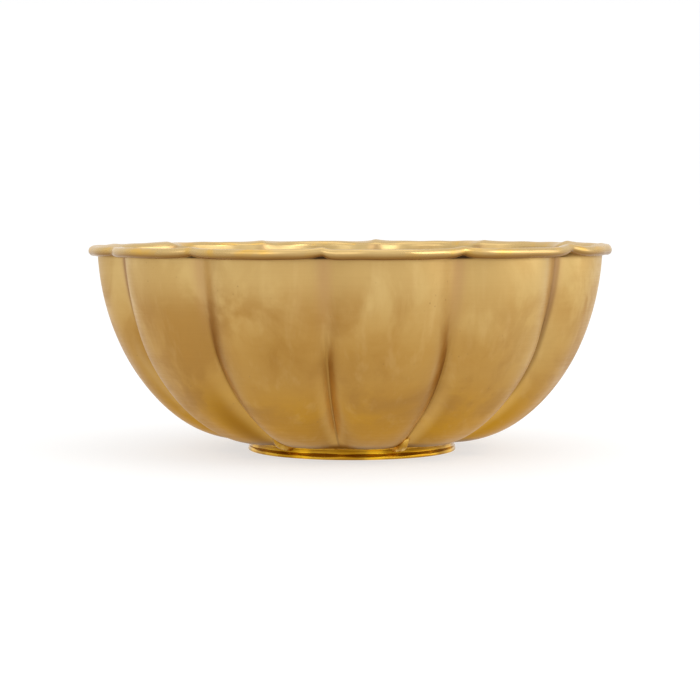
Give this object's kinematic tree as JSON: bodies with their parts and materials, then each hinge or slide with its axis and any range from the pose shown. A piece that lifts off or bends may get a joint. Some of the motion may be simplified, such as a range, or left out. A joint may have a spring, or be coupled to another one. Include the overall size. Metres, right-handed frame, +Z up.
{
  "type": "footed brass bowl",
  "caption": "Lobed sheet-brass bowl with a rolled, wired rim and a turned ring foot brazed under its flat floor.",
  "frame": {"origin": "middle of the ring foot's flat underside, on the surface that the bowl stands on", "axes": "+Z up along the bowl's axis; the middle of one lobe points along +X and another along -Y"},
  "size_m": [0.0826, 0.0826, 0.0325],
  "materials": {
    "satin_brass": "satin brushed sheet brass with light tarnish in the grooves",
    "wire_brass": "drawn wire, dull",
    "polished_brass": "turned and polished",
    "braze_brass": "brazed joint, uneven and bright"
  },
  "bodies": {
    "root": {"bowl_shell": "satin_brass", "rim_wire": "wire_brass", "foot_ring": "polished_brass", "braze_outer": "braze_brass", "braze_inner": "braze_brass"}
  },
  "joints": []
}
